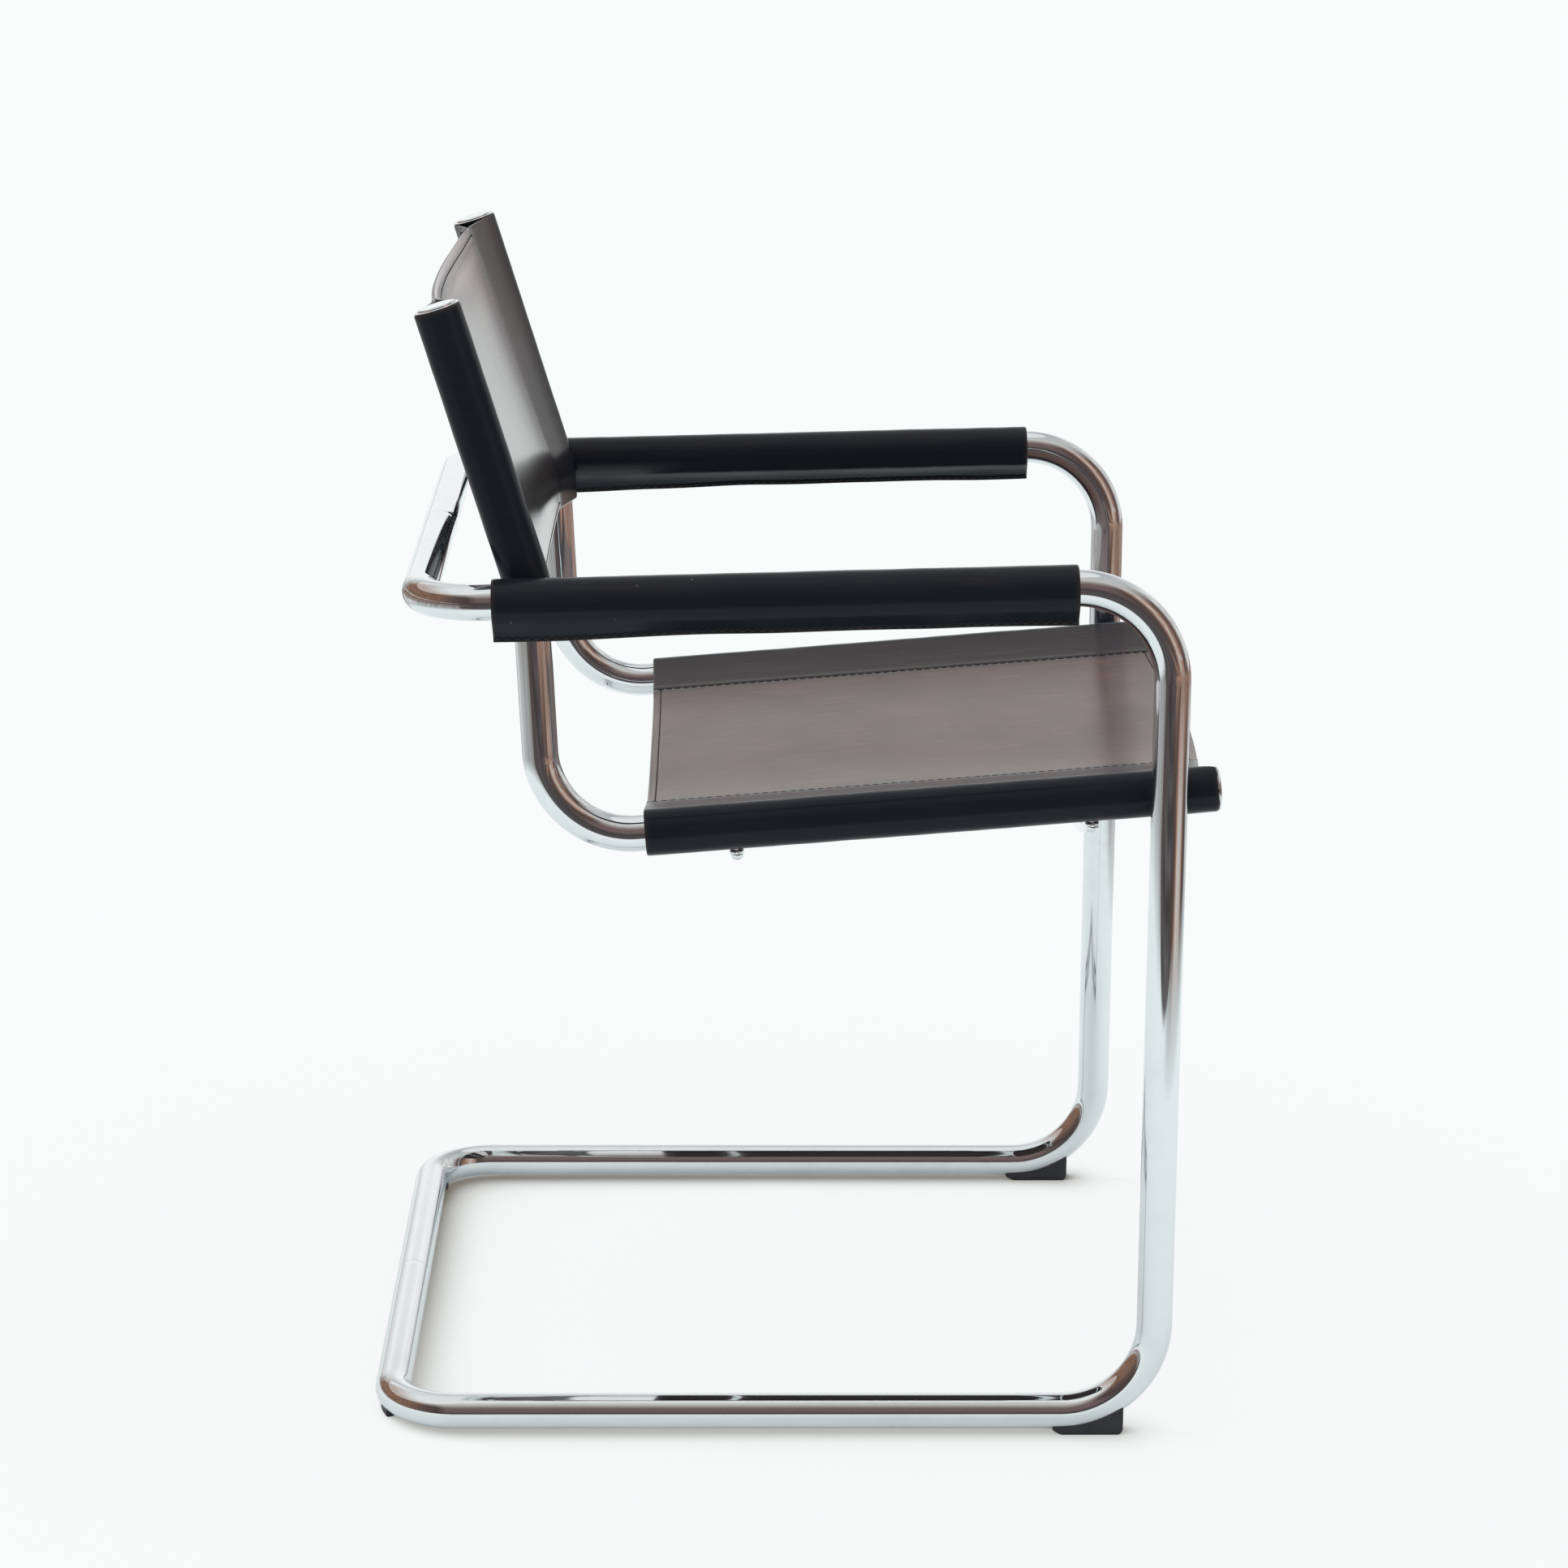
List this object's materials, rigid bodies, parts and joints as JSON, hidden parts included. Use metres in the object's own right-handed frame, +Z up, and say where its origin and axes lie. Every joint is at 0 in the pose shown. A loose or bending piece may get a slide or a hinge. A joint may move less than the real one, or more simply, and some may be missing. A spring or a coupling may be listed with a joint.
{
  "type": "cantilever armchair",
  "caption": "Cantilever armchair of bent chromed tube with a floor sled, sleeved arms, and a seat and a back of leather slung between two inner tubes.",
  "frame": {"origin": "on the floor under the middle of the chair's box", "axes": "+Z up, the chair faces -Y, and the sitter's left is +X"},
  "size_m": [0.559, 0.5927, 0.8005],
  "materials": {
    "chrome": "polished",
    "leather": "satin, slightly worn",
    "zinc": "zinc plated",
    "black_plastic": "moulded"
  },
  "bodies": {
    "root": {"back_sling": "leather", "floor_bar_spigot": "zinc", "front_spreader": "chrome", "left_arm_bolt": "zinc", "left_arm_nut": "zinc", "left_arm_sleeve": "leather", "left_arm_spacer": "black_plastic", "left_frame_tube": "chrome", "left_front_glide": "black_plastic", "left_front_glide_screw": "zinc", "left_front_spreader_nut": "zinc", "left_front_spreader_screw": "chrome", "left_leg_bolt": "zinc", "left_leg_nut": "zinc", "left_leg_spacer": "black_plastic", "left_post_cap": "chrome", "left_rail_cap": "chrome", "left_rear_glide": "black_plastic", "left_rear_glide_screw": "zinc", "left_rear_spreader_nut": "zinc", "left_rear_spreader_screw": "chrome", "left_seat_back_tube": "chrome", "rear_spreader": "chrome", "right_arm_bolt": "zinc", "right_arm_nut": "zinc", "right_arm_sleeve": "leather", "right_arm_spacer": "black_plastic", "right_frame_tube": "chrome", "right_front_glide": "black_plastic", "right_front_glide_screw": "zinc", "right_front_spreader_nut": "zinc", "right_front_spreader_screw": "chrome", "right_leg_bolt": "zinc", "right_leg_nut": "zinc", "right_leg_spacer": "black_plastic", "right_post_cap": "chrome", "right_rail_cap": "chrome", "right_rear_glide": "black_plastic", "right_rear_glide_screw": "zinc", "right_rear_spreader_nut": "zinc", "right_rear_spreader_screw": "chrome", "right_seat_back_tube": "chrome", "seat_sling": "leather", "top_bar_spigot": "zinc"}
  },
  "joints": []
}
